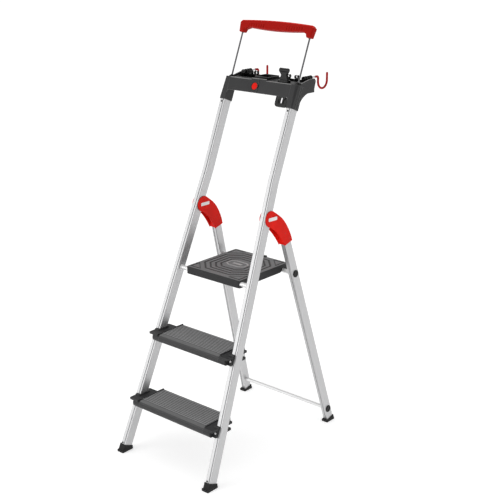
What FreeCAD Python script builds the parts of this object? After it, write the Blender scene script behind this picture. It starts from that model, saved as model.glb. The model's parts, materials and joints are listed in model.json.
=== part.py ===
"""Folding household step stool with three levels, a tool tray and a grab bar.

Millimetres, +Z up, the user stands on the -Y side.  While the pieces are made, y = 0 is
where the front faces of the stiles would meet the floor; export() moves everything so
that the origin is the middle of the bottom of the whole object.

Two slanted frames are used:
  lean frame   (x, v, u): u runs up along the lean of the stiles, v goes backwards.
  side frame   (s, v, u): the lean frame tipped sideways to follow the lower, tapering part
               of one stile; s = 0 is the outer face of the right stile, which fills s < 0.
The rear frame is drawn folded, in the side frame, and then swung open about the hinge.
Right-hand pieces are drawn, left-hand pieces are their mirror images.
"""
import FreeCAD, Part
import math
import os

V = FreeCAD.Vector
ORIGIN = V(0, 0, 0)
X_AXIS = V(1, 0, 0)
Y_AXIS = V(0, 1, 0)
Z_AXIS = V(0, 0, 1)

# ---------------------------------------------------------------- driving dimensions
LEAN = 22.1                # front frame, degrees from upright
REAR_LEAN = 16.25          # rear legs, degrees from upright, the other way
FOLD = LEAN + REAR_LEAN    # swing of the rear frame
TAPER = 3.18               # each side leans inwards by this many degrees
BASE_HALF = 221.2          # half width over the stiles, measured at u = 0
STILE_W = 22.5             # stile width, across the stool
STILE_D = 35.0             # stile depth, front to back
WALL = 1.6                 # wall of the aluminium sections
STILE_TOP = 1365.0         # u of the upper ends of the stiles
BEND_U = 1066.0            # above this height the stiles run parallel
BEND_R = 400.0
SOLE = 8.0                 # rubber under the ends of the tubes

STEP_TOPS = (202.7, 431.0)   # heights of the two treads
STEP_NAMES = ("lower", "upper")
TREAD_H = 31.0
TREAD_D = 133.6
NOSE_AHEAD = 37.7          # tread nose in front of the stile face
EAR_IN = 31.0              # tread end to the inner face of the stile
EAR_SHORT = 7.0            # cap flanges stop short of the stile's outer face
EAR_BEHIND = 25.0          # cap flanges behind the stile's rear face
PLATE_T = 7.0              # cap flange plates
RIB_PITCH = 9.4            # tread ribs
RIB_W = 6.2
RIB_H = 1.3
BOTTOM_BACK = 20.0         # lower flange plate set back from the nose

DECK_Z = 658.9             # platform height
DECK_W = 250.5
DECK_D = 265.0
DECK_H = 28.0
DECK_FRONT = 270.4
DECK_T = 4.0
GROOVE_DEEP = 1.3          # grooves of the deck's pattern
RING_COUNT = 4
RING_HALF = 108.0
RING_PITCH = 17.5
RING_W = 6.0
CORNER_LEG = 52.0
SKIRT_T = 4.0

PIVOT_TUBE_R = 8.0
PIVOT_Y = 280.5            # front tube, on which the platform turns
PIVOT_Z = 645.0
SADDLE_R = 8.4             # saddle over the rear tube

HINGE_V = 30.0             # hinge of the rear frame, side frame
HINGE_U = 944.0
PIN_R = 4.0
PIN_FIT = 0.06             # radial running clearance
LEG_FRONT = 40.6           # leg faces behind the hinge axis, side frame
LEG_D = 33.0
LEG_W = 20.5
LEG_S = -1.0               # outer face of the leg, side frame
LEG_TOP = -62.0            # leg end below the hinge axis
REAR_TUBE_DOWN = 252.6     # upper rear tube below the hinge axis
LOW_TUBE_R = 7.0
LOW_TUBE_Z = 53.0
PLUG_R = 13.4
CHEEK_GAP = 1.4
CHEEK_T = 2.6
HEAD_R = 28.5              # round head of the hinge covers

TRAY_TOP = 1302.0
TRAY_FLOOR = 1262.0
TRAY_REAR = 636.0
TRAY_HALF = 158.0
TRAY_T = 3.0
SOCKET_LOW = 1322.0        # u of the lower end of the sockets
SOCKET_HIGH = 1405.0
SOCKET_T = 2.0             # socket wall beside the stile
SOCKET_FRONT = 3.0         # socket in front of the stile
SOCKET_BACK = 37.5
SCREW_S = -13.0            # screw under the right socket, from the stile's outer face
FASCIA_H = 48.0
FASCIA_BOW = 4.0           # the fascia's middle stands this far forward
FASCIA_BEVEL = 2.4
BADGE_X = -13.0
BADGE_U = 1379.0
BADGE_R = 12.5
BADGE_SEAT = 6.0           # depth of the badge's seat, in front of the stiles
TOOL_HOLES = ((-94, 549, 4.5), (-76, 549, 4.5), (33, 566, 7.0), (53, 566, 5.0), (90, 566, 8.0))

ROD_R = 3.0                # grab bar rods, which slide down into the stiles
ROD_FIT = 0.08
ROD_LOW = 1285.0
GRIP_LOW = 1571.0          # lower ends of the grip's turned-down ends
GRIP_MID = 1601.5
GRIP_HALF = 165.0
GRIP_D = 24.0
FINGER_COUNT = 7           # grooves on each half of the grip's front
FINGER_FROM = 52.0
FINGER_PITCH = 11.0

HOOK_X = 137.0
HOOK_Z = 1311.5
HOOK_ROD_R = 2.6
HOOK_COAT_R = 3.9
HOOK_NEAR_Y = 677.0
HOOK_FAR_Y = 729.0
HOOK_BOTTOM_Z = 1263.0
HOOK_TIP_Z = 1317.0

FOOT_AHEAD = 6.0
SHOE_U = 29.0              # upper end of the front shoes, cut square to the stile
FOOT_SCREW_S = -15.5
HEEL_U = -902.0            # upper end of the rear shoes, from the hinge
CENTRE_Y = (HOOK_FAR_Y + HOOK_COAT_R - FOOT_AHEAD) / 2.0

LEAN_R = math.radians(LEAN)
TAPER_R = math.radians(TAPER)
TOP_HALF = BASE_HALF - BEND_U * math.sin(TAPER_R)   # half width over the parallel part
ROD_X = TOP_HALF - STILE_W / 2
ROD_V = STILE_D / 2


# ---------------------------------------------------------------- helpers
def export(name, shape):
    """Write one node, moved so that the origin is the bottom centre of the object."""
    placed = shape.copy()
    placed.translate(V(0, -CENTRE_Y, 0))
    placed.exportStep("parts/%s.step" % name)
    print("%-26s volume %10.1f  valid %s" % (name, placed.Volume, placed.isValid()))


def mirrored(shape):
    return shape.mirror(ORIGIN, X_AXIS)


def export_pair(name, right):
    export(name + "_right", right)
    export(name + "_left", mirrored(right))


def both(shape):
    """A right-hand piece and its mirror image, as one group of separate solids."""
    return Part.makeCompound([shape, mirrored(shape)])


def box(x0, x1, y0, y1, z0, z1):
    return Part.makeBox(x1 - x0, y1 - y0, z1 - z0, V(x0, y0, z0))


def fused(shapes):
    result = shapes[0].multiFuse(shapes[1:])
    return result.removeSplitter()


def rod(start, end, radius):
    direction = end - start
    return Part.makeCylinder(radius, direction.Length, start, direction)


def prism(points, direction):
    """Closed polygon of vectors, pushed along a vector."""
    face = Part.Face(Part.makePolygon(list(points) + [points[0]]))
    return face.extrude(direction)


def rounded(shape, radius, axis):
    """Round the straight edges that run along one axis."""
    edges = []
    for edge in shape.Edges:
        if edge.Length < 1e-6 or not isinstance(edge.Curve, Part.Line):
            continue
        if abs(abs(edge.Curve.Direction.dot(axis)) - 1.0) < 1e-6:
            edges.append(edge)
    return shape.makeFillet(radius, edges)


def rounded_box(x0, x1, y0, y1, z0, z1, radius, axis):
    return rounded(box(x0, x1, y0, y1, z0, z1), radius, axis)


def lean(shape):
    """Lean frame to stool."""
    placed = shape.copy()
    placed.rotate(ORIGIN, X_AXIS, -LEAN)
    return placed


def side(shape):
    """Side frame of the right stile to stool."""
    placed = shape.copy()
    placed.rotate(ORIGIN, Y_AXIS, -TAPER)
    placed.translate(V(BASE_HALF, 0, 0))
    placed.rotate(ORIGIN, X_AXIS, -LEAN)
    return placed


def side_point(s, v, u):
    """Side frame of the right stile to stool, one point."""
    x = BASE_HALF + s * math.cos(TAPER_R) - u * math.sin(TAPER_R)
    up = u * math.cos(TAPER_R) + s * math.sin(TAPER_R)
    y = v * math.cos(LEAN_R) + up * math.sin(LEAN_R)
    z = up * math.cos(LEAN_R) - v * math.sin(LEAN_R)
    return V(x, y, z)


HINGE = side_point(0, HINGE_V, HINGE_U)


def opened(shape):
    """Swing a folded rear-frame piece open."""
    placed = shape.copy()
    placed.rotate(HINGE, X_AXIS, FOLD)
    return placed


def opened_point(point):
    rotation = FreeCAD.Rotation(X_AXIS, FOLD)
    return HINGE + rotation.multVec(point - HINGE)


def stile_face_y(z):
    """Depth of the stiles' front faces at a height."""
    return z * math.tan(LEAN_R)


def outer_half(y, z):
    """Half width over the stiles beside a point."""
    u = y * math.sin(LEAN_R) + z * math.cos(LEAN_R)
    return BASE_HALF - u * math.tan(TAPER_R)


def section_bar(s0, s1, v0, v1, u0, u1, groove_s):
    """Hollow rounded bar with one groove down its front face."""
    outer = rounded_box(s0, s1, v0, v1, u0, u1, 2.2, Z_AXIS)
    inner = rounded_box(s0 + WALL, s1 - WALL, v0 + WALL, v1 - WALL, u0 - 1, u1 + 1, 0.8, Z_AXIS)
    groove = box(groove_s - 1.8, groove_s + 1.8, v0 - 1, v0 + 2.4, u0 - 1, u1 + 1)
    lining = box(groove_s - 3.2, groove_s + 3.2, v0 + WALL / 2, v0 + 3.9, u0, u1)
    return outer.cut(inner).fuse(lining).cut(groove).removeSplitter()


def below(z, size=1200.0):
    return box(-size, size, -size, 2 * size, z - size, z)


# ---------------------------------------------------------------- front frame
def stile(groove_s, screw_s, foot_screw_s):
    """One stile with its bend and the holes for pin, tube, screws and rivets."""
    turn = V(BEND_R, 0, BEND_U - BEND_R * math.tan(TAPER_R / 2))
    low = section_bar(-STILE_W, 0, 0, STILE_D, -60, turn.z, groove_s)
    section = [f for f in low.Faces if f.BoundBox.ZMin > turn.z - 1e-3][0]
    bend = section.revolve(turn, Y_AXIS, TAPER)
    section.rotate(turn, Y_AXIS, TAPER)
    rest = STILE_TOP - turn.z - BEND_R * math.sin(TAPER_R)
    top = section.extrude(V(math.sin(TAPER_R), 0, math.cos(TAPER_R)) * rest)
    bar = side(fused([low, bend, top])).cut(below(SOLE))
    pin = rod(HINGE + V(-60, 0, 0), HINGE + V(30, 0, 0), PIN_R)
    inner_x = outer_half(PIVOT_Y, PIVOT_Z) - STILE_W
    tube = rod(V(inner_x - 20, PIVOT_Y, PIVOT_Z), V(inner_x + 8, PIVOT_Y, PIVOT_Z), PIVOT_TUBE_R)
    return bar.cut([pin, tube, foot_screw(foot_screw_s), tray_screw(screw_s)] + step_rivets())


def stile_envelope():
    """The lower part of the stile as a solid bar, for making room in the pieces around it."""
    return side(rounded_box(-STILE_W, 0, 0, STILE_D, -60, BEND_U - 40, 2.2, Z_AXIS))


def stile_top_envelope():
    """The same for the upper, parallel part."""
    return lean(rounded_box(TOP_HALF - STILE_W, TOP_HALF, 0, STILE_D, BEND_U + 40, STILE_TOP, 2.2,
                            Z_AXIS))


def front_foot():
    """Shoe over the lower end of a stile, with a flat tread-grooved sole."""
    shoe = side(rounded_box(-STILE_W - 3, 3, -3, STILE_D + 3, -60, SHOE_U, 3, Z_AXIS))
    reach = stile_face_y(SOLE)
    pad_x0 = BASE_HALF - STILE_W - 5
    pad = rounded_box(pad_x0, BASE_HALF + 3, -FOOT_AHEAD, reach + 42, 0, 7, 3, Z_AXIS)
    layer = box(0, 400, -100, 300, 0, 60)
    foot = shoe.common(layer).fuse(pad).removeSplitter()
    room = stile_envelope().cut(below(SOLE))
    foot = foot.cut(room)
    for k in range(5):
        y = 3 + 9 * k
        foot = foot.cut(box(pad_x0 - 5, BASE_HALF + 10, y, y + 2.5, -1, 1.6))
    return foot


def pan_screw(x, u):
    """Cross-slotted pan-head screw in a front face at v = 0, drawn upright."""
    head = Part.makeCylinder(3.2, 1.6, V(x, 0, u), V(0, -1, 0))
    head = head.makeFillet(0.9, [e for e in head.Edges if abs(e.BoundBox.YMax + 1.6) < 1e-3])
    shank = Part.makeCylinder(1.7, 4.0, V(x, 0, u), V(0, 1, 0))
    slot = box(x - 2.2, x + 2.2, -2, -0.9, u - 0.45, u + 0.45)
    cross = box(x - 0.45, x + 0.45, -2, -0.9, u - 2.2, u + 2.2)
    return head.fuse(shank).cut(slot).cut(cross)


def foot_screw(s):
    """Screw through the stile's front just above the shoe."""
    return side(pan_screw(s, SHOE_U + 4.5))


def tray_screw(s):
    """Screw through the stile's front just under the socket."""
    return lean(pan_screw(TOP_HALF + s, SOCKET_LOW - 9))


def tread_outline(y0, z1, ribs):
    """Tread section as points: bullnose front, ribbed top, rounded rear."""
    y1 = y0 + TREAD_D
    z0 = z1 - TREAD_H
    points = []
    for k in range(9):
        angle = math.radians(-70 + 20 * k)
        points.append(V(0, y0 + 17 - 17 * math.cos(angle), z0 + 13.5 + 16.2 * math.sin(angle)))
    if ribs:
        rib_y = y0 + 20
        while rib_y < y1 - 12:
            points += [V(0, rib_y, z1 - RIB_H), V(0, rib_y + 0.8, z1)]
            points += [V(0, rib_y + RIB_W - 0.8, z1), V(0, rib_y + RIB_W, z1 - RIB_H)]
            rib_y += RIB_PITCH
    for k in range(5):
        angle = math.radians(90 - 22.5 * k)
        points.append(V(0, y1 - 9 + 9 * math.cos(angle), z1 - 10.2 + 9 * math.sin(angle)))
    points += [V(0, y1, z0 + 2), V(0, y1 - 2, z0)]
    return points


def tread(top, half):
    """Extruded hollow tread with two webs inside."""
    y0 = stile_face_y(top) - NOSE_AHEAD
    outline = [V(-half, p.y, p.z) for p in tread_outline(y0, top, True)]
    body = prism(outline, V(2 * half, 0, 0))
    z0 = top - TREAD_H
    bays = ((16, 52), (54.5, 91.5), (94, 121))
    for start, end in bays:
        cell = box(-half - 1, half + 1, y0 + start, y0 + end, z0 + 2.4, top - 4.0)
        body = body.cut(rounded(cell, 2, X_AXIS))
    return body


def tread_half(top):
    """Half length of a tread: it ends EAR_IN before the stile."""
    y = stile_face_y(top)
    return outer_half(y, top) - STILE_W - EAR_IN


def step_cap(top):
    """Moulded end cap: closes the tread and wraps round the stile."""
    half = tread_half(top)
    face = stile_face_y(top)
    y0 = face - NOSE_AHEAD
    z0 = top - TREAD_H
    x_end = outer_half(face, top) - EAR_SHORT
    rear = face + STILE_D / math.cos(LEAN_R) + EAR_BEHIND
    lip = [V(half, p.y, p.z) for p in tread_outline(y0, top, False)]
    slab = prism(lip, V(7, 0, 0))
    band = box(half, half + 4.5, y0 + 12, y0 + TREAD_D - 6, top - 3, top + 1.8)
    plate = box(half + 5, x_end, y0, rear, top - PLATE_T, top)
    upper = rounded(plate, 3, Z_AXIS)
    plate = box(half + 5, x_end - 2, y0 + BOTTOM_BACK, rear - 4, z0, z0 + PLATE_T)
    lower = rounded(plate, 3, Z_AXIS)
    front = prism(lip, V(EAR_IN, 0, 0)).common(box(half, half + EAR_IN, y0, y0 + 40, z0, top))
    collar_bar = rounded_box(-STILE_W - 5, 8, -9, STILE_D + 6, -60, BEND_U, 3, Z_AXIS)
    collar = side(collar_bar).common(box(half, x_end, y0, rear, z0, top + 3.0))
    cap = fused([slab, band, upper, lower, front, collar])
    return cap.cut([stile_envelope()] + step_rivets())


def step_rivets():
    """Blind rivets through the front walls of the caps into the stiles."""
    rivets = []
    for top in STEP_TOPS:
        height = top - 19.0
        up = height / math.cos(LEAN_R)
        s = -STILE_W + 8
        head = Part.makeCylinder(3.6, 1.4, V(s, -9, up), V(0, -1, 0))
        shank = Part.makeCylinder(1.9, 9.0, V(s, -9, up), V(0, 1, 0))
        rivets.append(side(head.fuse(shank)))
    return rivets


def platform_tube():
    """Cross tube between the stiles, swaged where it meets them."""
    inner = outer_half(PIVOT_Y, PIVOT_Z) - STILE_W
    start = V(-inner - 5, PIVOT_Y, PIVOT_Z)
    end = V(inner + 5, PIVOT_Y, PIVOT_Z)
    tube = rod(start, end, PIVOT_TUBE_R).cut(rod(start, end, PIVOT_TUBE_R - 1.5))
    bead_x = inner - 4.2
    bead = rod(V(bead_x, PIVOT_Y, PIVOT_Z), V(bead_x + 3, PIVOT_Y, PIVOT_Z), PIVOT_TUBE_R + 2.2)
    bead = bead.makeFillet(1.2, bead.Edges)
    bead = bead.cut(rod(start, end, PIVOT_TUBE_R - 0.5))
    return fused([tube, bead, mirrored(bead)])


def hinge_pin():
    """Fixed pin through the stile; the cover cheeks turn on its ends."""
    inner = HINGE + V(-STILE_W - CHEEK_GAP - CHEEK_T + 0.5, 0, 0)
    outer = HINGE + V(CHEEK_GAP + CHEEK_T - 0.5, 0, 0)
    return rod(inner, outer, PIN_R)


def hinge_washers():
    """Thin washers on both faces of the stile."""
    pin = rod(HINGE + V(-60, 0, 0), HINGE + V(30, 0, 0), PIN_R)
    washers = []
    for s in (0.0, -STILE_W - 0.6):
        disc = Part.makeCylinder(9, 0.6, V(s, HINGE_V, HINGE_U), X_AXIS)
        washers.append(side(disc).cut(pin).common(side(box(-40, 20, 2, 200, 900, 1000))))
    return washers


# ---------------------------------------------------------------- rear frame
def leg():
    """Rear leg, cut off square at the sole and slanted under the cover."""
    v0 = HINGE_V + LEG_FRONT
    bar = section_bar(LEG_S - LEG_W, LEG_S, v0, v0 + LEG_D, HINGE_U - 1000, HINGE_U + LEG_TOP,
                      LEG_S - LEG_W * 0.4)
    slope = [V(-60, v0 + 14, HINGE_U + LEG_TOP + 1), V(-60, v0 + LEG_D + 1, HINGE_U + LEG_TOP + 1),
             V(-60, v0 + LEG_D + 1, HINGE_U + LEG_TOP - 24)]
    bar = bar.cut(prism(slope, V(90, 0, 0)))
    bar = opened(side(bar)).cut(below(SOLE))
    for centre, radius in ((upper_tube_centre(), PIVOT_TUBE_R), (lower_tube_centre(), LOW_TUBE_R)):
        bar = bar.cut(rod(centre, centre + V(400, 0, 0), radius))
    return bar.cut(cover_rivets())


def leg_envelope():
    v0 = HINGE_V + LEG_FRONT
    bar = rounded_box(LEG_S - LEG_W, LEG_S, v0, v0 + LEG_D, HINGE_U - 1000, HINGE_U + LEG_TOP, 2.2,
                      Z_AXIS)
    return opened(side(bar))


def upper_tube_centre():
    centre = side_point(0, HINGE_V + LEG_FRONT + LEG_D / 2, HINGE_U - REAR_TUBE_DOWN)
    point = opened_point(centre)
    return V(0, point.y, point.z)


def lower_tube_centre():
    top = upper_tube_centre()
    drop = top.z - LOW_TUBE_Z
    return V(0, top.y + drop * math.tan(math.radians(REAR_LEAN)), LOW_TUBE_Z)


def leg_outer_x(centre):
    """Outer face of the right leg beside a point of its centre line."""
    reach = (HINGE.z - centre.z) / math.cos(math.radians(REAR_LEAN))
    return HINGE.x + LEG_S + reach * math.sin(TAPER_R)


def cross_tube(centre, radius):
    """Straight tube through both legs."""
    end = leg_outer_x(centre) - 1.5
    start = V(-end, centre.y, centre.z)
    finish = V(end, centre.y, centre.z)
    return rod(start, finish, radius).cut(rod(start, finish, radius - 1.4))


def tube_plug(centre, radius):
    """Round plug that closes the end of a cross tube: flange, ring and stem."""
    x = leg_outer_x(centre)
    stem = rod(V(x - 11, centre.y, centre.z), V(x + 0.8, centre.y, centre.z), radius - 1.5)
    flange = rod(V(x + 0.8, centre.y, centre.z), V(x + 4.0, centre.y, centre.z), PLUG_R)
    rim = [e for e in flange.Edges if abs(e.BoundBox.XMin - x - 4.0) < 1e-3]
    flange = flange.makeFillet(1.6, rim)
    dish = rod(V(x + 2.6, centre.y, centre.z), V(x + 5.0, centre.y, centre.z), 7.2)
    knob = rod(V(x + 2.0, centre.y, centre.z), V(x + 3.4, centre.y, centre.z), 4.6)
    seat = rod(V(x - 3.0, centre.y, centre.z), V(x + 0.9, centre.y, centre.z), PLUG_R)
    plug = fused([stem, flange.cut(dish), knob, seat])
    return plug.cut(leg_envelope())


def rear_foot():
    """Shoe on the lower end of a rear leg."""
    v0 = HINGE_V + LEG_FRONT
    shoe = rounded_box(LEG_S - LEG_W - 3, LEG_S + 3, v0 - 3, v0 + LEG_D + 3,
                       HINGE_U - 1000, HINGE_U + HEEL_U, 3, Z_AXIS)
    shoe = opened(side(shoe)).common(box(0, 400, 500, 900, 0, 60))
    heel = lower_tube_centre().y + (LOW_TUBE_Z - SOLE) * math.tan(math.radians(REAR_LEAN))
    x1 = shoe.BoundBox.XMax
    x0 = shoe.BoundBox.XMin
    pad = rounded_box(x0, x1, heel - 25, heel + 21, 0, 7, 3, Z_AXIS)
    foot = shoe.fuse(pad).removeSplitter()
    foot = foot.cut(leg_envelope().cut(below(SOLE)))
    for k in range(4):
        y = heel - 16 + 9 * k
        foot = foot.cut(box(x0 - 5, x1 + 5, y, y + 2.5, -1, 1.6))
    return foot


def cover_outline():
    """Hinge cover seen from the side, folded, relative to the hinge (v, u)."""
    return {
        "front": [(-16.2, -23.5), (6.5, -51.0), (19.0, -77.0), (27.5, -100.0), (34.0, -123.5)],
        "rear": [(76.2, -123.5), (76.4, -108.0), (71.5, -74.0), (56.0, -29.0), (35.0, 2.0),
                 (20.0, 20.3)],
    }


def hinge_cover():
    """Clevis of the rear frame: two cheeks joined by a spine behind."""
    outline = cover_outline()

    def spline(points, s):
        curve = Part.BSplineCurve()
        curve.interpolate([V(s, HINGE_V + v, HINGE_U + u) for v, u in points])
        return curve.toShape()

    s0 = -STILE_W - CHEEK_GAP - CHEEK_T
    s1 = CHEEK_GAP + CHEEK_T
    front = spline(outline["front"], s0)
    rear = spline(outline["rear"], s0)
    v_a, u_a = outline["rear"][-1]
    v_b, u_b = outline["front"][0]
    head_mid = math.radians(150)
    middle = V(s0, HINGE_V + HEAD_R * math.cos(head_mid), HINGE_U + HEAD_R * math.sin(head_mid))
    head = Part.Arc(V(s0, HINGE_V + v_a, HINGE_U + u_a), middle,
                    V(s0, HINGE_V + v_b, HINGE_U + u_b)).toShape()
    v_c, u_c = outline["front"][-1]
    v_d, u_d = outline["rear"][0]
    sole = Part.LineSegment(V(s0, HINGE_V + v_c, HINGE_U + u_c),
                            V(s0, HINGE_V + v_d, HINGE_U + u_d)).toShape()
    wire = Part.Wire([front, sole, rear, head])
    block = Part.Face(wire).extrude(V(s1 - s0, 0, 0))
    outer_edges = []
    for edge in block.Edges:
        box_edge = edge.BoundBox
        flat = box_edge.XLength < 1e-3
        if flat and not (abs(box_edge.ZMax - HINGE_U - u_c) < 1e-3):
            outer_edges.append(edge)
    block = block.makeFillet(1.3, outer_edges)

    # room for the stile, kept clear through the whole swing
    gap0 = -STILE_W - CHEEK_GAP
    hollow = Part.makeCylinder(HEAD_R + 14, CHEEK_GAP - gap0, V(gap0, HINGE_V, HINGE_U), X_AXIS)
    tail = [V(gap0, HINGE_V - 40, HINGE_U + 10), V(gap0, HINGE_V + 12, HINGE_U + 40),
            V(gap0, HINGE_V + 33, HINGE_U - 20), V(gap0, HINGE_V + 38, HINGE_U - 60),
            V(gap0, HINGE_V + 38, HINGE_U - 140), V(gap0, HINGE_V - 40, HINGE_U - 140)]
    slot = prism(tail, V(CHEEK_GAP - gap0, 0, 0))
    keep = [V(gap0 - 1, HINGE_V + 31, HINGE_U + 9), V(gap0 - 1, HINGE_V + 80, HINGE_U + 9),
            V(gap0 - 1, HINGE_V + 80, HINGE_U - 60), V(gap0 - 1, HINGE_V + 51, HINGE_U - 28)]
    hollow = hollow.cut(prism(keep, V(60, 0, 0)))
    cover = block.cut(slot).cut(hollow)
    cell = box(LEG_S - LEG_W, LEG_S, HINGE_V + 36, HINGE_V + 50, HINGE_U + LEG_TOP - 2, HINGE_U - 22)
    cover = cover.cut(cell)
    cover = opened(side(cover))
    cover = cover.cut(leg_envelope())
    bore = rod(HINGE + V(-60, 0, 0), HINGE + V(30, 0, 0), PIN_R + PIN_FIT)
    return cover.cut([bore] + cover_rivets())


def cover_marks():
    """Plain slanted bar on each cheek of the cover, over the end of the hinge pin."""
    length, height, thick = 44.0, 12.0, 0.5
    marks = []
    for s in (CHEEK_GAP + CHEEK_T, -STILE_W - CHEEK_GAP - CHEEK_T - thick):
        plate = rounded_box(s, s + thick, -length / 2, length / 2, -height / 2, height / 2, 3, X_AXIS)
        plate.rotate(ORIGIN, X_AXIS, -17.5)
        plate.translate(V(0, HINGE_V + 7.2, HINGE_U - 2.8))
        marks.append(opened(side(plate)))
    return marks


def cover_rivets():
    """Two flush rivets through each cover and leg."""
    s0 = -STILE_W - CHEEK_GAP - CHEEK_T
    length = STILE_W + 2 * (CHEEK_GAP + CHEEK_T)
    rivets = []
    for v, u in ((LEG_FRONT + 10, -82), (LEG_FRONT + 22, -110)):
        shank = Part.makeCylinder(2.4, length, V(s0, HINGE_V + v, HINGE_U + u), X_AXIS)
        rivets.append(opened(side(shank)))
    return rivets


# ---------------------------------------------------------------- platform
def octagon(half_x, half_y, z0, z1):
    """Plate with cut corners in the middle of the deck."""
    corner = 0.55
    centre = DECK_FRONT + DECK_D / 2
    pts = [(-1, -corner), (-corner, -1), (corner, -1), (1, -corner),
           (1, corner), (corner, 1), (-corner, 1), (-1, corner)]
    return prism([V(half_x * px, centre + half_y * py, z0) for px, py in pts], V(0, 0, z1 - z0))


def deck():
    """Platform moulding: deck with ribbed pattern, skirts, ribs, bosses and rear saddles."""
    x1 = DECK_W / 2
    y0 = DECK_FRONT
    y1 = y0 + DECK_D
    z0 = DECK_Z - DECK_H
    block = rounded_box(-x1, x1, y0, y1, z0, DECK_Z, 9, Z_AXIS)
    top_edges = [e for e in block.Edges if e.BoundBox.ZMin > DECK_Z - 1e-3]
    block = block.makeFillet(2.5, top_edges)
    cell = rounded_box(-x1 + SKIRT_T, x1 - SKIRT_T, y0 + SKIRT_T, y1 - SKIRT_T,
                       z0 - 1, DECK_Z - DECK_T, 5, Z_AXIS)
    shell = block.cut(cell)
    ribs = []
    for k in range(-2, 3):
        ribs.append(box(45 * k - 1.2, 45 * k + 1.2, y0 + 2, y1 - 2, z0 + 4, DECK_Z - 1))
    for k in range(1, 4):
        y = y0 + 60 * k - 8
        ribs.append(box(-x1 + 2, x1 - 2, y - 1.2, y + 1.2, z0 + 4, DECK_Z - 1))
    saddle = upper_tube_centre()
    for s in (-1, 1):
        cheek_x0 = min(s * (x1 - 16), s * (x1 - 1))
        ribs.append(box(cheek_x0, cheek_x0 + 15, saddle.y - 16, y1 - 2, z0, DECK_Z - 1))
        ribs.append(box(cheek_x0, cheek_x0 + 15, y0 + 2, y0 + 22, z0, DECK_Z - 1))
    lift = rounded_box(-28, 28, y1 - 9, y1 - 0.5, DECK_Z - 2, DECK_Z + 5.0, 3, Y_AXIS)
    body = fused([shell] + ribs + [lift])

    grooves = []
    centre = y0 + DECK_D / 2
    floor = DECK_Z - GROOVE_DEEP
    for k in range(RING_COUNT):
        half = RING_HALF - RING_PITCH * k
        ring = octagon(half, half, floor, DECK_Z + 2)
        grooves.append(ring.cut(octagon(half - RING_W, half - RING_W, floor, DECK_Z + 2)))
    rim = 9.0
    for sx in (-1, 1):
        for sy in (-1, 1):
            px = sx * (x1 - rim)
            py = centre + sy * (DECK_D / 2 - rim)
            corner = [V(px, py, floor), V(px - sx * CORNER_LEG, py, floor),
                      V(px, py - sy * CORNER_LEG, floor)]
            land = [p + V(-sx * 5, -sy * 5, 0) for p in (corner[0], corner[1] + V(sx * 14, 0, 0),
                                                        corner[2] + V(0, sy * 14, 0))]
            grooves.append(prism(corner, V(0, 0, 4)).cut(prism(land, V(0, 0, 4))))
    body = body.cut(Part.makeCompound(grooves))

    # front bearing and rear saddles, which open downwards and forwards
    body = body.cut(rod(V(-x1 - 5, PIVOT_Y, PIVOT_Z), V(x1 + 5, PIVOT_Y, PIVOT_Z),
                        PIVOT_TUBE_R + 0.1))
    tube = rod(V(-x1 - 5, saddle.y, saddle.z), V(x1 + 5, saddle.y, saddle.z), SADDLE_R)
    mouth = [V(-x1 - 5, saddle.y + SADDLE_R, saddle.z), V(-x1 - 5, saddle.y + SADDLE_R, z0 - 5),
             V(-x1 - 5, saddle.y - SADDLE_R - 16, z0 - 5), V(-x1 - 5, saddle.y - SADDLE_R, saddle.z)]
    mouth = prism(mouth, V(DECK_W + 10, 0, 0))
    return body.cut(tube).cut(mouth)


def deck_badge():
    """Plain raised long ring and bar in the middle of the deck."""
    centre = DECK_FRONT + DECK_D / 2
    top = DECK_Z + 1.0
    ring = octagon(42, 26, DECK_Z, top).cut(octagon(38, 21, DECK_Z, top))
    bar = box(-20, 20, centre - 5, centre + 5, DECK_Z, top)
    return Part.makeCompound([ring, bar])


# ---------------------------------------------------------------- tray
def socket_outline(u, corner):
    """Plan of a socket in the lean frame; its outer front corner has its own radius."""
    x0 = TOP_HALF - STILE_W - SOCKET_T
    x1 = TOP_HALF + SOCKET_T
    small = 2.0
    corners = ((x0, -SOCKET_FRONT, small, 180), (x1, -SOCKET_FRONT, corner, 270),
               (x1, SOCKET_BACK, small, 0), (x0, SOCKET_BACK, small, 90))
    arcs = []
    for x, v, r, start in corners:
        centre = V(x + (r if x == x0 else -r), v + (r if v < 0 else -r), u)
        points = []
        for turn in (0, 45, 90):
            angle = math.radians(start + turn)
            points.append(centre + V(r * math.cos(angle), r * math.sin(angle), 0))
        arcs.append(points)
    edges = []
    for k, (a, m, b) in enumerate(arcs):
        edges.append(Part.Arc(a, m, b).toShape())
        edges.append(Part.LineSegment(b, arcs[(k + 1) % 4][0]).toShape())
    return Part.Wire(edges)


def socket_block():
    """Socket over the top of the stile: its outer front corner grows rounder upwards."""
    low = socket_outline(SOCKET_LOW, 3.0)
    high = socket_outline(SOCKET_HIGH, 12.0)
    ribs = [rounded_box(TOP_HALF + SOCKET_T - 1, TOP_HALF + SOCKET_T + 0.9, v, v + 2.6,
                        SOCKET_LOW + 3, SOCKET_HIGH - 3, 0.6, Z_AXIS) for v in (17.0, 27.0)]
    return fused([Part.makeLoft([low, high], True, True)] + ribs)


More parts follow.
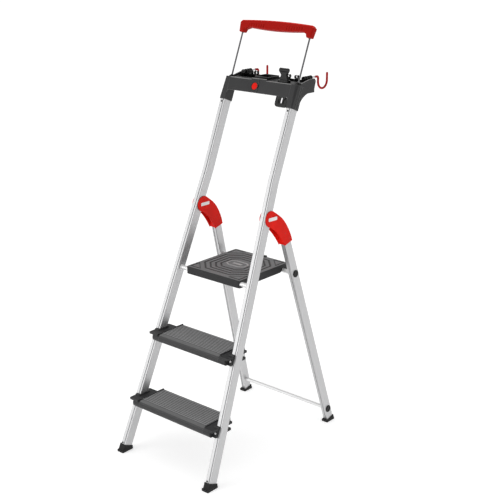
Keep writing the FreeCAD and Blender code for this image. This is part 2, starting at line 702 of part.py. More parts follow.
def side_wall():
    """Side wall of the tray with its curved gusset under it."""
    x0 = TRAY_HALF - 5
    outline = {name: V(x0, y, z) for name, (y, z) in {
        "front": (557, TRAY_TOP - 1), "rise": (600, TRAY_TOP + 8), "rear": (630, TRAY_TOP + 9),
        "round": (637, TRAY_TOP), "heel": (626, TRAY_FLOOR + 2), "belly": (600, TRAY_FLOOR + 3),
        "sag": (562, 1249), "foot": (536, 1214), "inside": (524, 1222)}.items()}
    order = ("inside", "front", "rise", "rear", "round", "heel", "belly")
    edges = [Part.LineSegment(outline[a], outline[b]).toShape() for a, b in zip(order, order[1:])]
    edges.append(Part.Arc(outline["belly"], outline["sag"], outline["foot"]).toShape())
    edges.append(Part.LineSegment(outline["foot"], outline["inside"]).toShape())
    return Part.Face(Part.Wire(edges)).extrude(V(5, 0, 0))


def top_bevel(shape, size):
    """Bevel the front edges of a wall's top, drawn upright in the lean frame."""
    top = shape.BoundBox.ZMax - 1e-3
    edges = [e for e in shape.Edges if e.BoundBox.ZMin > top and e.BoundBox.YMax < -1.0
             and e.BoundBox.XLength > 1.0]
    return shape.makeChamfer(size, edges)


def fascia():
    """Front wall between the sockets: bowed, with a raised rim and a badge panel."""
    half = TOP_HALF - STILE_W - SOCKET_T + 1
    front = -SOCKET_FRONT
    low = SOCKET_HIGH - FASCIA_H
    plan = [V(-half, front, low), V(0, front - FASCIA_BOW, low), V(half, front, low),
            V(half, 0, low), V(-half, 0, low)]
    wall = prism(plan, V(0, 0, FASCIA_H - 1))
    rim = prism([V(-37, front - FASCIA_BOW * 0.73, low), V(0, front - FASCIA_BOW, low),
                 V(30, front - FASCIA_BOW * 0.78, low), V(30, 0, low), V(-37, 0, low)],
                V(0, 0, FASCIA_H + 4))
    panel = prism([V(-37, front - FASCIA_BOW * 0.73, low), V(1, front - FASCIA_BOW - 2.2, low),
                   V(1, 0, low), V(-37, 0, low)], V(0, 0, FASCIA_H + 3))
    bead = box(-half, half, front + 0.2, 3.0, low + FASCIA_H - 4, low + FASCIA_H)
    corners = []
    for x, side_x in ((-half, 1), (half, -1)):
        block = box(min(x, x + 9 * side_x), max(x, x + 9 * side_x), front, 0, low - 8, low)
        corners.append(block.cut(rod(V(x + 9 * side_x, -20, low - 8), V(x + 9 * side_x, 20, low - 8),
                                     8.0)))
    walls = [top_bevel(piece, FASCIA_BEVEL) for piece in (wall, rim, panel, bead)]
    return lean(fused(walls + corners))


def tray_frame():
    """One moulding: fascia, both sockets and both side walls."""
    socket = lean(socket_block())
    right = fused([socket, side_wall()])
    body = fused([right, mirrored(right), fascia()])
    room = stile_top_envelope()
    bore = lean(rod(V(ROD_X, ROD_V, STILE_TOP - 5), V(ROD_X, ROD_V, SOCKET_HIGH + 5), ROD_R + ROD_FIT))
    body = body.cut([room, mirrored(room), bore, mirrored(bore)])
    seat = rod(V(BADGE_X, -20, BADGE_U), V(BADGE_X, -BADGE_SEAT, BADGE_U), BADGE_R + 3)
    stem = rod(V(BADGE_X, -20, BADGE_U), V(BADGE_X, 20, BADGE_U), 5.0)
    return body.cut(lean(seat.fuse(stem)))


def rod_collar():
    """Flat round collar on the socket, through which the grab bar rod passes."""
    disc = Part.makeCylinder(9.3, 6.5, V(ROD_X, ROD_V, SOCKET_HIGH), Z_AXIS)
    disc = disc.makeFillet(1.6, [e for e in disc.Edges if e.BoundBox.ZMin > SOCKET_HIGH + 6])
    boss = Part.makeCylinder(5.4, 4, V(ROD_X, ROD_V, SOCKET_HIGH + 6), Z_AXIS)
    bore = Part.makeCylinder(ROD_R + ROD_FIT, 40, V(ROD_X, ROD_V, SOCKET_HIGH - 10), Z_AXIS)
    return lean(disc.fuse(boss).cut(bore)).cut(tray_frame())


def badge():
    """Plain domed disc with a stem through the fascia, and its ring."""
    face = -BADGE_SEAT
    stem = rod(V(BADGE_X, -0.6, BADGE_U), V(BADGE_X, face, BADGE_U), 4.9)
    ball = Part.makeSphere(34, V(BADGE_X, face + 28.6, BADGE_U))
    dome = ball.common(rod(V(BADGE_X, face, BADGE_U), V(BADGE_X, face - 7, BADGE_U), BADGE_R))
    ring = rod(V(BADGE_X, face, BADGE_U), V(BADGE_X, face - 4, BADGE_U), BADGE_R + 3)
    ring = ring.makeFillet(1.0, [e for e in ring.Edges if e.BoundBox.YMax < face - 3.9])
    ring = ring.cut(rod(V(BADGE_X, face + 1, BADGE_U), V(BADGE_X, face - 7, BADGE_U), BADGE_R + 0.1))
    return lean(dome.fuse(stem)), lean(ring)


def front_limit():
    """Everything in front of the plane behind the fascia."""
    return lean(box(-400, 400, -400, 0.1, 1000, 1800))


def tray_shelf():
    """Tray moulding: floor, rear wall, dividers and a row of tool holes."""
    half = TRAY_HALF - 5.1
    outer = box(-half, half, 505, TRAY_REAR, TRAY_FLOOR, TRAY_TOP - 2)
    pockets = [(-half + TRAY_T, -60, 562, TRAY_REAR - TRAY_T), (-57, 14, 548, TRAY_REAR - TRAY_T),
               (17, half - TRAY_T, 585, TRAY_REAR - TRAY_T)]
    shelf = outer
    for x0, x1, y0, y1 in pockets:
        shelf = shelf.cut(rounded_box(x0, x1, y0, y1, TRAY_FLOOR + TRAY_T, TRAY_TOP + 5, 2.5, Z_AXIS))
    under = rounded_box(-104, 104, 522, 578, TRAY_FLOOR - 1, TRAY_TOP - 8, 3, Z_AXIS)
    shelf = shelf.cut(under.cut(box(-62, 19, 500, 700, TRAY_FLOOR - 5, TRAY_TOP)))
    for x, y, radius in TOOL_HOLES:
        shelf = shelf.cut(rod(V(x, y, TRAY_FLOOR - 5), V(x, y, TRAY_TOP + 5), radius))
    shelf = shelf.cut(front_limit())
    for s in (side_socket(), mirrored(side_socket())):
        shelf = shelf.cut(s)
    return shelf.cut(tray_frame())


def side_socket():
    return lean(box(TOP_HALF - STILE_W - SOCKET_T - 0.05, 400, -60, SOCKET_BACK + 0.05, 1200, 1500))


def tool_loop():
    """Loop with a slot that hangs under the fascia beside the right socket."""
    high = SOCKET_HIGH - FASCIA_H
    low = high - 36
    x1 = TOP_HALF - STILE_W - SOCKET_T - 0.1
    x0 = x1 - 50
    plate = rounded_bottom(box(x0, x1, -2.8, 5.2, low, high - 0.1), 12)
    slot = rounded_box(x0 + 18.5, x0 + 29.5, -10, 12, low + 13, high - 2.5, 4, Y_AXIS)
    rims = [box(x, x + 3, -5.0, -2.0, low + 10, high - 10) for x in (x0 + 12, x0 + 33)]
    corner = box(x1 - 12, x1 + 1, -10, 0.1, high - 12, high)
    return lean(fused([plate] + rims).cut(slot).cut(corner))


def rounded_bottom(shape, radius):
    low = shape.BoundBox.ZMin
    edges = [e for e in shape.Edges if e.BoundBox.ZMax < low + 1e-3 or
             (e.BoundBox.YLength > 1 and e.BoundBox.ZMin < low + 1e-3)]
    corners = [e for e in edges if e.BoundBox.XLength < 1e-3]
    return shape.makeFillet(radius, corners)


def tool_clip():
    """Upright holder with a waist and a flared head, on a round base."""
    x, y = 91.0, 546.0
    z = TRAY_TOP - 2
    base = rounded_box(x - 23, x + 23, y - 11, y + 9, z, z + 9, 5, Z_AXIS)
    outline = [V(x - 17, y - 5, z + 8), V(x - 11, y - 5, z + 27), V(x - 17, y - 5, z + 35),
               V(x - 17, y - 5, z + 48), V(x + 17, y - 5, z + 48), V(x + 17, y - 5, z + 35),
               V(x + 11, y - 5, z + 27), V(x + 17, y - 5, z + 8)]
    web = prism(outline, V(0, 10, 0))
    web = rounded(web, 2.5, Y_AXIS)
    head = rod(V(x - 18, y, z + 42), V(x + 18, y, z + 42), 7.5)
    return fused([base, web, head])


def spring_clips():
    """Small C-shaped spring clips for tools, standing on the rim of the tray."""
    clips = []
    places = ((-114, 610, 8.5), (-88, 610, 8.5), (46, 627, 8.0), (82, 627, 8.0))
    for x, y, radius in places:
        z = TRAY_TOP - 2
        ring = rod(V(x, y - 5, z + radius + 1), V(x, y + 5, z + radius + 1), radius)
        ring = ring.cut(rod(V(x, y - 9, z + radius + 1), V(x, y + 9, z + radius + 1), radius - 2.4))
        mouth = box(x - radius * 0.55, x + radius * 0.55, y - 9, y + 9, z + radius, z + 3 * radius)
        foot = box(x - 5, x + 5, y - 5, y + 5, TRAY_FLOOR + TRAY_T, z + 2.2)
        clips.append(fused([ring.cut(mouth), foot]))
    return clips


def tool_cup():
    """Round-cornered insert cup with a raised rim in the middle pocket."""
    z1 = TRAY_TOP + 6
    cup = rounded_box(-54, 11, 556, 622, TRAY_FLOOR + TRAY_T, z1, 8, Z_AXIS)
    room = rounded_box(-50, 7, 560, 618, TRAY_FLOOR + TRAY_T + 3, z1 + 1, 5, Z_AXIS)
    return cup.cut(room)


def hook_socket():
    """Ribbed bush at the rear corner of the tray in which the hook rod slides."""
    start = 592
    pieces = [rod(V(HOOK_X, start, HOOK_Z), V(HOOK_X, TRAY_REAR, HOOK_Z), 6.2),
              box(HOOK_X - 4, HOOK_X + 4, start, TRAY_REAR, TRAY_TOP - 2, HOOK_Z - 3)]
    for k in range(4):
        y = start + 13 * k
        pieces.append(rod(V(HOOK_X, y, HOOK_Z), V(HOOK_X, y + 4.5, HOOK_Z), 8.0))
    bore = rod(V(HOOK_X, 500, HOOK_Z), V(HOOK_X, 700, HOOK_Z), HOOK_ROD_R + ROD_FIT)
    return fused(pieces).cut(bore)


# ---------------------------------------------------------------- grab bar
def grab_rod():
    """Steel rod from the socket up into the grip."""
    bar = rod(V(ROD_X, ROD_V, ROD_LOW), V(ROD_X, ROD_V, GRIP_LOW + 24), ROD_R)
    return lean(bar)


def grip():
    """Moulded grip, thicker in the middle, with its ends turned down over the rods."""
    v0 = ROD_V - GRIP_D / 2
    half = GRIP_HALF
    lower = [(-ROD_X - 9, GRIP_LOW), (-ROD_X + 9.5, GRIP_LOW), (-ROD_X + 15, GRIP_LOW + 12),
             (-ROD_X + 33, GRIP_LOW + 19)]
    points = [V(x, v0, u) for x, u in lower]
    belly = Part.Arc(points[-1], V(0, v0, GRIP_MID - 17), V(-points[-1].x, v0, points[-1].z))
    right = [V(-p.x, v0, p.z) for p in reversed(points)]
    crown = [V(half, v0, GRIP_MID + 4), V(half - 9, v0, GRIP_MID + 12)]
    top = Part.Arc(crown[1], V(0, v0, GRIP_MID + 17), V(-crown[1].x, v0, crown[1].z))
    edges = [Part.LineSegment(a, b).toShape() for a, b in zip(points, points[1:])]
    edges.append(belly.toShape())
    edges += [Part.LineSegment(a, b).toShape() for a, b in zip(right, right[1:])]
    edges.append(Part.LineSegment(right[-1], crown[0]).toShape())
    edges.append(Part.LineSegment(crown[0], crown[1]).toShape())
    edges.append(top.toShape())
    left = [V(-p.x, v0, p.z) for p in reversed(crown)]
    edges.append(Part.LineSegment(left[0], left[1]).toShape())
    edges.append(Part.LineSegment(left[1], points[0]).toShape())
    body = Part.Face(Part.Wire(edges)).extrude(V(0, GRIP_D, 0))
    rims = [e for e in body.Edges if e.BoundBox.YLength < 1e-3]
    body = body.makeFillet(5.0, rims)
    for k in range(FINGER_COUNT):
        for x in (FINGER_FROM + FINGER_PITCH * k, -FINGER_FROM - FINGER_PITCH * k):
            low = GRIP_MID - 24
            body = body.cut(rod(V(x, v0 - 0.8, low), V(x, v0 - 0.8, low + 26), 2.6))
    for s in (-1, 1):
        bore = rod(V(s * ROD_X, ROD_V, 1500), V(s * ROD_X, ROD_V, GRIP_LOW + 24), ROD_R)
        body = body.cut(bore)
    return lean(body)


# ---------------------------------------------------------------- hooks
def hook_path():
    """Straight run, bend down, U and tip, as edges in the plane of the hook."""
    bend = 6.0
    radius = (HOOK_FAR_Y - HOOK_NEAR_Y) / 2
    low = HOOK_BOTTOM_Z + HOOK_COAT_R + radius
    half = math.sqrt(0.5)
    p0 = V(HOOK_X, HOOK_NEAR_Y - bend - 12, HOOK_Z)
    p1 = V(HOOK_X, HOOK_NEAR_Y - bend, HOOK_Z)
    p2 = V(HOOK_X, HOOK_NEAR_Y, HOOK_Z - bend)
    m1 = V(HOOK_X, HOOK_NEAR_Y - bend + bend * half, HOOK_Z - bend + bend * half)
    p3 = V(HOOK_X, HOOK_NEAR_Y, low)
    m2 = V(HOOK_X, HOOK_NEAR_Y + radius, low - radius)
    p4 = V(HOOK_X, HOOK_FAR_Y, low)
    p5 = V(HOOK_X, HOOK_FAR_Y, HOOK_TIP_Z)
    edges = [Part.LineSegment(p0, p1).toShape(), Part.Arc(p1, m1, p2).toShape(),
             Part.LineSegment(p2, p3).toShape(), Part.Arc(p3, m2, p4).toShape(),
             Part.LineSegment(p4, p5).toShape()]
    return Part.Wire(edges), p0, p5


def hook_parts():
    """Steel rod and the red coated U of the right hook."""
    path, start, tip = hook_path()
    circle = Part.Wire(Part.Circle(start, Y_AXIS, HOOK_COAT_R).toShape())
    coat = path.makePipeShell([circle], True, True)
    coat = coat.fuse(Part.makeSphere(HOOK_COAT_R, tip)).removeSplitter()
    steel = rod(V(HOOK_X, 598, HOOK_Z), V(HOOK_X, start.y + 8, HOOK_Z), HOOK_ROD_R)
    coat = coat.cut(steel)
    return steel, coat


# ---------------------------------------------------------------- the whole stool
def main():
    os.makedirs("parts", exist_ok=True)
    export("stile_right", stile(-STILE_W * 0.3, SCREW_S, FOOT_SCREW_S))
    left = stile(-STILE_W * 0.66, -STILE_W - SCREW_S, -STILE_W - FOOT_SCREW_S)
    export("stile_left", mirrored(left))
    export_pair("foot_front", front_foot())
    left_screw = mirrored(foot_screw(-STILE_W - FOOT_SCREW_S))
    export("foot_screws_front", Part.makeCompound([foot_screw(FOOT_SCREW_S), left_screw]))
    for name, top in zip(STEP_NAMES, STEP_TOPS):
        export("tread_" + name, tread(top, tread_half(top)))
        export_pair("step_cap_" + name, step_cap(top))
    rivets = step_rivets()
    export("step_rivets", Part.makeCompound(rivets + [mirrored(r) for r in rivets]))
    export("platform_tube", platform_tube())
    export_pair("hinge_pin", hinge_pin())
    washers = hinge_washers()
    export("hinge_washers", Part.makeCompound(washers + [mirrored(w) for w in washers]))

    export_pair("rear_leg", leg())
    export_pair("hinge_cover", hinge_cover())
    rivets = cover_rivets()
    export("cover_rivets", Part.makeCompound(rivets + [mirrored(r) for r in rivets]))
    marks = cover_marks()
    export("cover_marks", Part.makeCompound(marks + [mirrored(m) for m in marks]))
    export("rear_tube_upper", cross_tube(upper_tube_centre(), PIVOT_TUBE_R))
    export("rear_tube_lower", cross_tube(lower_tube_centre(), LOW_TUBE_R))
    export("tube_plugs_upper", both(tube_plug(upper_tube_centre(), PIVOT_TUBE_R)))
    export("tube_plugs_lower", both(tube_plug(lower_tube_centre(), LOW_TUBE_R)))
    export_pair("foot_rear", rear_foot())

    export("platform_deck", deck())
    export("deck_badge", deck_badge())

    export("tray_frame", tray_frame())
    export_pair("rod_collar", rod_collar())
    dome, ring = badge()
    export("fascia_badge", dome)
    export("badge_ring", ring)
    export("tray_shelf", tray_shelf())
    left_screw = mirrored(tray_screw(-STILE_W - SCREW_S))
    export("tray_screws", Part.makeCompound([tray_screw(SCREW_S), left_screw]))
    export("tool_loop", tool_loop())
    export("tool_clip", tool_clip())
    export("spring_clips", Part.makeCompound(spring_clips()))
    export("tool_cup", tool_cup())
    export_pair("hook_socket", hook_socket())

    export_pair("grab_rod", grab_rod())
    export("grab_grip", grip())
    steel, coat = hook_parts()
    export_pair("hook_rod", steel)
    export_pair("hook_coat", coat)


main()
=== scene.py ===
"""Looks of the folding step stool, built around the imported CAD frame."""

import json
import math

import bpy
from mathutils import Euler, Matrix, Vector

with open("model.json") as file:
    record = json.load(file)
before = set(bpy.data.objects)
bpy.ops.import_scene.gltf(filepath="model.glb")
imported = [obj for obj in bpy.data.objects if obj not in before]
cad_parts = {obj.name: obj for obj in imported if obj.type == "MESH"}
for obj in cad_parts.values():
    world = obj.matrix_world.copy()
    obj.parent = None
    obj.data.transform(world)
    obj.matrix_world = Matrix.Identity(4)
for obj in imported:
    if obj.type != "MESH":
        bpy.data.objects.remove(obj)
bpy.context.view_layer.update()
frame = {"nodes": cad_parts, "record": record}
nodes = frame["nodes"]

# ---------------------------------------------------------------- view
AZIMUTH = 40.684            # degrees, 0 looks along +Y
ELEVATION = 17.921          # degrees above the horizon
LENS = 74.72                # mm
SENSOR = 36.0               # mm
FAR_CLIP = 100.0            # m
CAMERA_AT = (2.3274, -2.5995, 1.8494)

# slants of the metal sections, degrees about X
STILE_LEAN = 22.1
LEG_LEAN = -16.25

# ---------------------------------------------------------------- stage and light
FLOOR_HALF = 40.0           # m
FLOOR_TONE = (0.80, 0.80, 0.80)
FLOOR_DARK = (0.79, 0.79, 0.79)
FLOOR_LIGHT = (0.81, 0.81, 0.81)
FLOOR_GLOW = 0.46           # keeps the paper as white as the picture's ground
WHITE = (1.0, 1.0, 1.0, 1.0)

SKY_FROM, SKY_TO = -0.05, 1.0        # heights between which the tent brightens
SKY_DIM, SKY_BRIGHT = 0.15, 1.05
HORIZON = 0.07                       # below this height the tent is white
BOX_AT = (-2.4, -4.4, 2.2)
BOX_AIM = (0, 0, 0.8)
BOX_SIZE = 3.6                       # m
BOX_POWER = 80.0                     # W

# ---------------------------------------------------------------- shared grain settings
UPRIGHT = (0, 0, 0)
EVEN = (1, 1, 1)
BEVEL_SAMPLES = 6
NOISE_LOW, NOISE_HIGH = 0.3, 0.7     # the part of a noise's range that is used
BRUSH_SCALE, BRUSH_DETAIL = 900.0, 4.0
BRUSH_DEPTH = 0.00006                # m
BRUSH_EDGE = 0.0006                  # m
CLOUD_SCALE, CLOUD_DETAIL = 9.0, 2.0
CLOUD_SHARE = 0.16
DRIFT_SCALE, DRIFT_DETAIL = 14.0, 3.0
GRAIN_DETAIL = 2.0
GRAIN_STRENGTH = 0.5
MOULDED_EDGE = 0.0007                # m
TOPPED_EDGE = 0.0004                 # m

# inputs and output of the Mix node when it mixes colours
MIX_FACTOR, MIX_A, MIX_B, MIX_RESULT = 0, 6, 7, 2


# ---------------------------------------------------------------- material helpers
def new_material(name, base, roughness, metallic=0.0, specular=0.5):
    material = bpy.data.materials.new(name)
    material.use_nodes = True
    shader = shader_of(material)
    shader.inputs["Base Color"].default_value = (*base, 1.0)
    shader.inputs["Roughness"].default_value = roughness
    shader.inputs["Metallic"].default_value = metallic
    shader.inputs["Specular IOR Level"].default_value = specular
    return material


def shader_of(material):
    return material.node_tree.nodes["Principled BSDF"]


def add(material, kind, links=None, **values):
    """Add a node, set its inputs by name, and link sockets into it."""
    node = material.node_tree.nodes.new("ShaderNode" + kind)
    for key, value in values.items():
        if hasattr(node, key):
            setattr(node, key, value)
        else:
            node.inputs[key.replace("_", " ")].default_value = value
    for key, socket in (links or {}).items():
        material.node_tree.links.new(socket, node.inputs[key])
    return node


def feed(material, socket, name):
    material.node_tree.links.new(socket, shader_of(material).inputs[name])


def shade(colour, factor):
    """A darker or lighter tone of a colour, never over 1."""
    return tuple(min(1.0, factor * c) for c in colour)


def place(material, turn=UPRIGHT, stretch=EVEN):
    """Object coordinates, turned in degrees and stretched."""
    where = add(material, "TexCoord")
    mapping = add(material, "Mapping", {"Vector": where.outputs["Object"]})
    mapping.inputs["Rotation"].default_value = [math.radians(a) for a in turn]
    mapping.inputs["Scale"].default_value = stretch
    return mapping.outputs["Vector"]


def noise(material, vector, scale, detail, rough=0.55):
    node = add(material, "TexNoise", {"Vector": vector},
               Scale=scale, Detail=detail, Roughness=rough)
    return node.outputs["Fac"]


def ramp(material, value, stops):
    """Colour ramp from a value; a stop is (position, colour)."""
    node = add(material, "ValToRGB", {"Fac": value})
    elements = node.color_ramp.elements
    for element, (position, colour) in zip(elements, stops):
        element.position = position
        element.color = (*colour, 1.0)
    return node.outputs["Color"]


def spread(material, value, low, high, start=NOISE_LOW, end=NOISE_HIGH):
    """Map a value between start and end to a range of numbers."""
    node = add(material, "MapRange", {"Value": value})
    node.inputs["From Min"].default_value = start
    node.inputs["From Max"].default_value = end
    node.inputs["To Min"].default_value = low
    node.inputs["To Max"].default_value = high
    return node.outputs["Result"]


def mix(material, factor, a, b):
    """Mix two colours; each of them is a plain colour or a socket."""
    node = material.node_tree.nodes.new("ShaderNodeMix")
    node.data_type = "RGBA"
    links = material.node_tree.links
    links.new(factor, node.inputs[MIX_FACTOR])
    for index, value in ((MIX_A, a), (MIX_B, b)):
        if hasattr(value, "is_linked"):
            links.new(value, node.inputs[index])
        else:
            node.inputs[index].default_value = (*value, 1.0)
    return node.outputs[MIX_RESULT]


def rounded_normal(material, radius):
    return add(material, "Bevel", samples=BEVEL_SAMPLES, Radius=radius).outputs["Normal"]


def edge_mask(material, radius, full=0.93, none=0.995):
    """1 on edges sharper than the radius, 0 on flats."""
    plain = add(material, "NewGeometry")
    dot = add(material, "VectorMath", operation="DOT_PRODUCT")
    links = material.node_tree.links
    links.new(rounded_normal(material, radius), dot.inputs[0])
    links.new(plain.outputs["Normal"], dot.inputs[1])
    return spread(material, dot.outputs["Value"], 1.0, 0.0, full, none)


def bump(material, height, depth, strength, round_edges):
    node = add(material, "Bump", {"Height": height}, Strength=strength, Distance=depth)
    material.node_tree.links.new(rounded_normal(material, round_edges), node.inputs["Normal"])
    feed(material, node.outputs["Normal"], "Normal")


def facing(material, low, high):
    """1 on faces that look up, 0 on faces that look sideways or down."""
    normal = add(material, "NewGeometry")
    split = add(material, "SeparateXYZ", {"Vector": normal.outputs["Normal"]})
    return spread(material, split.outputs["Z"], 0.0, 1.0, low, high)


def raised(material, low, high):
    """1 above a share of the piece's own height, 0 below it: the lands between its grooves."""
    where = add(material, "TexCoord")
    split = add(material, "SeparateXYZ", {"Vector": where.outputs["Generated"]})
    return spread(material, split.outputs["Z"], 0.0, 1.0, low, high)


# ---------------------------------------------------------------- material families
def brushed(name, base, turn=UPRIGHT, stretch=EVEN, roughness=0.38, metallic=0.75):
    """Satin metal with fine lines along one direction."""
    material = new_material(name, base, roughness, metallic)
    lines = noise(material, place(material, turn, stretch), BRUSH_SCALE, BRUSH_DETAIL)
    cloud = noise(material, place(material), CLOUD_SCALE, CLOUD_DETAIL)
    dark = shade(base, 0.90)
    tone = ramp(material, lines, [(NOISE_LOW, dark), (NOISE_HIGH, shade(base, 1.07))])
    tone = mix(material, spread(material, cloud, 0.0, CLOUD_SHARE), tone, dark)
    feed(material, tone, "Base Color")
    feed(material, spread(material, lines, roughness - 0.06, roughness + 0.08), "Roughness")
    bump(material, lines, BRUSH_DEPTH, 0.6, BRUSH_EDGE)
    return material


def moulded(name, base, roughness=0.5, grain=1400.0, depth=0.00008, edge=0.55,
            edge_radius=0.0012, specular=0.28):
    """Moulded plastic: fine spark-eroded grain, slow colour drift, paler edges that are
    handling wear and, where edge is large, a painted highlight along the rims.
    """
    material = new_material(name, base, roughness, specular=specular)
    where = place(material)
    fine = noise(material, where, grain, GRAIN_DETAIL)
    slow = noise(material, where, DRIFT_SCALE, DRIFT_DETAIL)
    light = shade(base, 1.16)
    # pale edge tone: handling wear, and where edge is large a painted highlight along the rims
    worn_and_highlit_edge = tuple(c + edge * 0.10 * (1.0 - c) for c in light)
    tone = ramp(material, slow, [(0.32, shade(base, 0.86)), (0.68, light)])
    tone = mix(material, edge_mask(material, edge_radius), tone, worn_and_highlit_edge)
    feed(material, tone, "Base Color")
    feed(material, spread(material, slow, roughness - 0.05, roughness + 0.07), "Roughness")
    bump(material, fine, depth, GRAIN_STRENGTH, MOULDED_EDGE)
    return material


def topped(name, side, lit_top, roughness, edge_highlight, edge_radius, grain=1400.0, depth=0.00008,
           groove_shade=None, lands=None, upward=(0.6, 0.95), specular=0.25):
    """Moulded surface with painted light: upper faces painted lighter as a painted highlight
    for light from above, a pale painted highlight along edges, and painted shade in the
    grooves.

    lands: the shares of the piece's height between which the groove's painted shade gives way
    to the top colour.
    upward: the upward part of the normal between which side gives way to the painted highlight
    of the top colour.
    """
    material = new_material(name, side, roughness, specular=specular)
    where = place(material)
    fine = noise(material, where, grain, GRAIN_DETAIL)
    slow = noise(material, where, DRIFT_SCALE, DRIFT_DETAIL)
    # the groove colour on the lower parts of the ribbed top is painted shade in the grooves
    upper = mix(material, raised(material, *lands), groove_shade, lit_top) if groove_shade else lit_top
    upper = mix(material, spread(material, slow, 0.0, 0.25), upper, shade(lit_top, 0.75))
    # upward faces take the top colour, a painted highlight for light from above; the sides keep
    # the darker colour
    base = mix(material, facing(material, *upward), side, upper)
    # edges take a pale colour, a painted highlight line along them
    base = mix(material, edge_mask(material, edge_radius), base, edge_highlight)
    feed(material, base, "Base Color")
    feed(material, spread(material, slow, roughness - 0.05, roughness + 0.07), "Roughness")
    bump(material, fine, depth, GRAIN_STRENGTH, TOPPED_EDGE)
    return material


# ---------------------------------------------------------------- materials of the stool
# A key is a slot of the record, or a node that needs its own material.
MATERIALS = {
    "stile_aluminium": brushed("stile_satin", (0.56, 0.56, 0.565), (STILE_LEAN, 0, 0),
                               (1, 1, 0.012)),
    "leg_aluminium": brushed("leg_satin", (0.56, 0.56, 0.565), (LEG_LEAN, 0, 0), (1, 1, 0.012)),
    "tube_aluminium": brushed("tube_satin", (0.80, 0.80, 0.80), UPRIGHT, (0.012, 1, 1),
                              roughness=0.40, metallic=0.5),
    # in the topped looks the top colour is a painted highlight on upward faces, the edge colour
    # a painted highlight line, and the groove colour painted shade
    "tread_coating": topped("tread_powder_coat", side=(0.036, 0.036, 0.037),
                            lit_top=(0.33, 0.33, 0.333), roughness=0.50, edge_highlight=(0.24, 0.24, 0.24),
                            edge_radius=0.0005, grain=1700.0, depth=0.00006,
                            groove_shade=(0.15, 0.15, 0.151), lands=(0.962, 0.99)),
    "cap_plastic": moulded("cap_moulding", (0.022, 0.022, 0.023), roughness=0.42),
    "deck_plastic": topped("deck_moulding_skin", side=(0.018, 0.018, 0.019),
                           lit_top=(0.185, 0.185, 0.188), roughness=0.46, edge_highlight=(0.13, 0.13, 0.13),
                           edge_radius=0.0008, groove_shade=(0.035, 0.035, 0.035),
                           lands=(0.815, 0.84)),
    # the tray's strong pale edges are a painted highlight along its rims
    "tray_plastic": moulded("tray_moulding", (0.012, 0.012, 0.013), roughness=0.34, edge=1.2,
                            edge_radius=0.0020),
    "black_plastic": moulded("gloss_black_moulding", (0.004, 0.004, 0.004), roughness=0.20,
                             edge=0.35, specular=0.22),
    "foot_rubber": moulded("foot_rubber_skin", (0.012, 0.012, 0.012), roughness=0.70,
                           grain=900.0, depth=0.00012),
    "red_plastic": moulded("red_moulding", (0.72, 0.012, 0.006), grain=1500.0, depth=0.00005,
                           edge=0.10, specular=0.08),
    "tray_frame": topped("tray_frame_skin", side=(0.026, 0.026, 0.027), lit_top=(0.30, 0.30, 0.30),
                         roughness=0.40, edge_highlight=(0.13, 0.13, 0.13), edge_radius=0.0018),
    "step_rivets": brushed("rivet_steel", (0.90, 0.90, 0.90), roughness=0.35, metallic=0.2),
    "grab_grip": topped("grip_skin", side=(0.35, 0.006, 0.003), lit_top=(0.74, 0.030, 0.020),
                        roughness=0.44, edge_highlight=(0.50, 0.02, 0.015), edge_radius=0.0010,
                        grain=1500.0, depth=0.00005, upward=(0.38, 0.85), specular=0.06),
    "cover_rivets": moulded("painted_rivet", (0.50, 0.008, 0.004), grain=1500.0, depth=0.00005,
                            edge=0.1),
    "deck_badge": moulded("deck_emblem_skin", (0.42, 0.42, 0.42), grain=1500.0, depth=0.00005,
                          edge=0.1),
    "hook_coating": moulded("red_dip_coat", (0.36, 0.003, 0.003), roughness=0.24, grain=700.0,
                            depth=0.00004, edge=0.05, specular=0.14),
    "bright_steel": brushed("zinc_steel", (0.60, 0.60, 0.60), UPRIGHT, (1, 0.05, 1),
                            roughness=0.20, metallic=1.0),
    "rod_steel": brushed("rod_steel_skin", (0.17, 0.17, 0.175), (STILE_LEAN, 0, 0),
                         (1, 1, 0.02), roughness=0.30, metallic=0.9),
    "dark_screw": brushed("black_oxide", (0.035, 0.035, 0.037), roughness=0.40, metallic=0.4),
    "white_mark": moulded("pale_print", (0.86, 0.86, 0.85), roughness=0.45, grain=1800.0,
                          depth=0.00002, edge=0.1),
}

slots = {part["node"]: part["material_slot"] for part in frame["record"]["subparts"]}
for node_name, node_object in nodes.items():
    slot = node_name if node_name in MATERIALS else slots[node_name]
    if node_name.startswith("rear_leg"):     # same metal as the stiles, brushed along the legs
        slot = "leg_aluminium"
    node_object.data.materials.clear()
    node_object.data.materials.append(MATERIALS[slot])


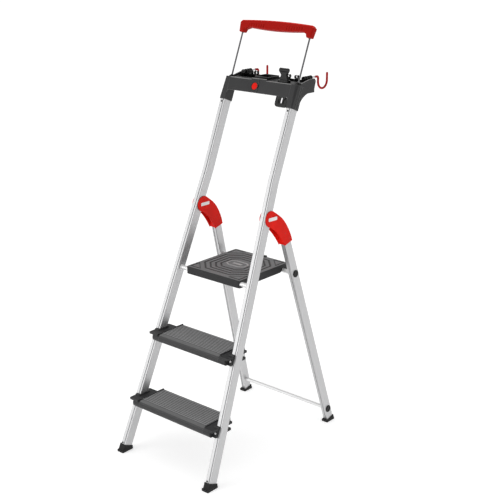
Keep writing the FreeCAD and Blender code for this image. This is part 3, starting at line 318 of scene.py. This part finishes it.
# ---------------------------------------------------------------- stage, light and camera
def floor():
    mesh = bpy.data.meshes.new("studio_floor")
    corners = [(x * FLOOR_HALF, y * FLOOR_HALF, 0)
               for x, y in ((-1, -1), (1, -1), (1, 1), (-1, 1))]
    mesh.from_pydata(corners, [], [(0, 1, 2, 3)])
    piece = bpy.data.objects.new("studio_floor", mesh)
    bpy.context.collection.objects.link(piece)
    material = new_material("floor_paper", FLOOR_TONE, 0.9, specular=0.2)
    cloud = noise(material, place(material), 3.0, 2.0)
    tone = ramp(material, cloud, [(NOISE_LOW, FLOOR_DARK), (NOISE_HIGH, FLOOR_LIGHT)])
    feed(material, tone, "Base Color")
    shader = shader_of(material)
    shader.inputs["Emission Color"].default_value = WHITE
    shader.inputs["Emission Strength"].default_value = FLOOR_GLOW
    mesh.materials.append(material)


def area_light(name, at, aim, size, power):
    data = bpy.data.lights.new(name, "AREA")
    data.shape = "SQUARE"
    data.size = size
    data.energy = power
    lamp = bpy.data.objects.new(name, data)
    lamp.location = at
    lamp.rotation_euler = (Vector(aim) - Vector(at)).to_track_quat("-Z", "Y").to_euler()
    bpy.context.collection.objects.link(lamp)


def sky():
    """Soft tent of light: bright overhead, dimmer lower down, white at the horizon."""
    world = bpy.data.worlds.new("studio_tent")
    bpy.context.scene.world = world
    world.use_nodes = True
    tree = world.node_tree
    back = tree.nodes["Background"]
    where = tree.nodes.new("ShaderNodeTexCoord")
    split = tree.nodes.new("ShaderNodeSeparateXYZ")
    height = tree.nodes.new("ShaderNodeMapRange")
    height.inputs["From Min"].default_value = SKY_FROM
    height.inputs["From Max"].default_value = SKY_TO
    height.inputs["To Min"].default_value = SKY_DIM
    height.inputs["To Max"].default_value = SKY_BRIGHT
    under = tree.nodes.new("ShaderNodeMath")
    under.operation = "LESS_THAN"
    under.inputs[1].default_value = HORIZON
    total = tree.nodes.new("ShaderNodeMath")
    tree.links.new(where.outputs["Generated"], split.inputs["Vector"])
    tree.links.new(split.outputs["Z"], height.inputs["Value"])
    tree.links.new(split.outputs["Z"], under.inputs[0])
    tree.links.new(height.outputs["Result"], total.inputs[0])
    tree.links.new(under.outputs["Value"], total.inputs[1])
    tree.links.new(total.outputs["Value"], back.inputs["Strength"])
    back.inputs["Color"].default_value = WHITE


def camera():
    data = bpy.data.cameras.new("photo_view")
    data.lens = LENS
    data.sensor_width = SENSOR
    data.clip_end = FAR_CLIP
    view = bpy.data.objects.new("photo_view", data)
    view.location = CAMERA_AT
    view.rotation_euler = Euler((math.radians(90 - ELEVATION), 0, math.radians(AZIMUTH)))
    bpy.context.collection.objects.link(view)
    bpy.context.scene.camera = view


floor()
sky()
area_light("front_softbox", BOX_AT, BOX_AIM, BOX_SIZE, BOX_POWER)
camera()
bpy.context.scene.view_settings.view_transform = "Standard"
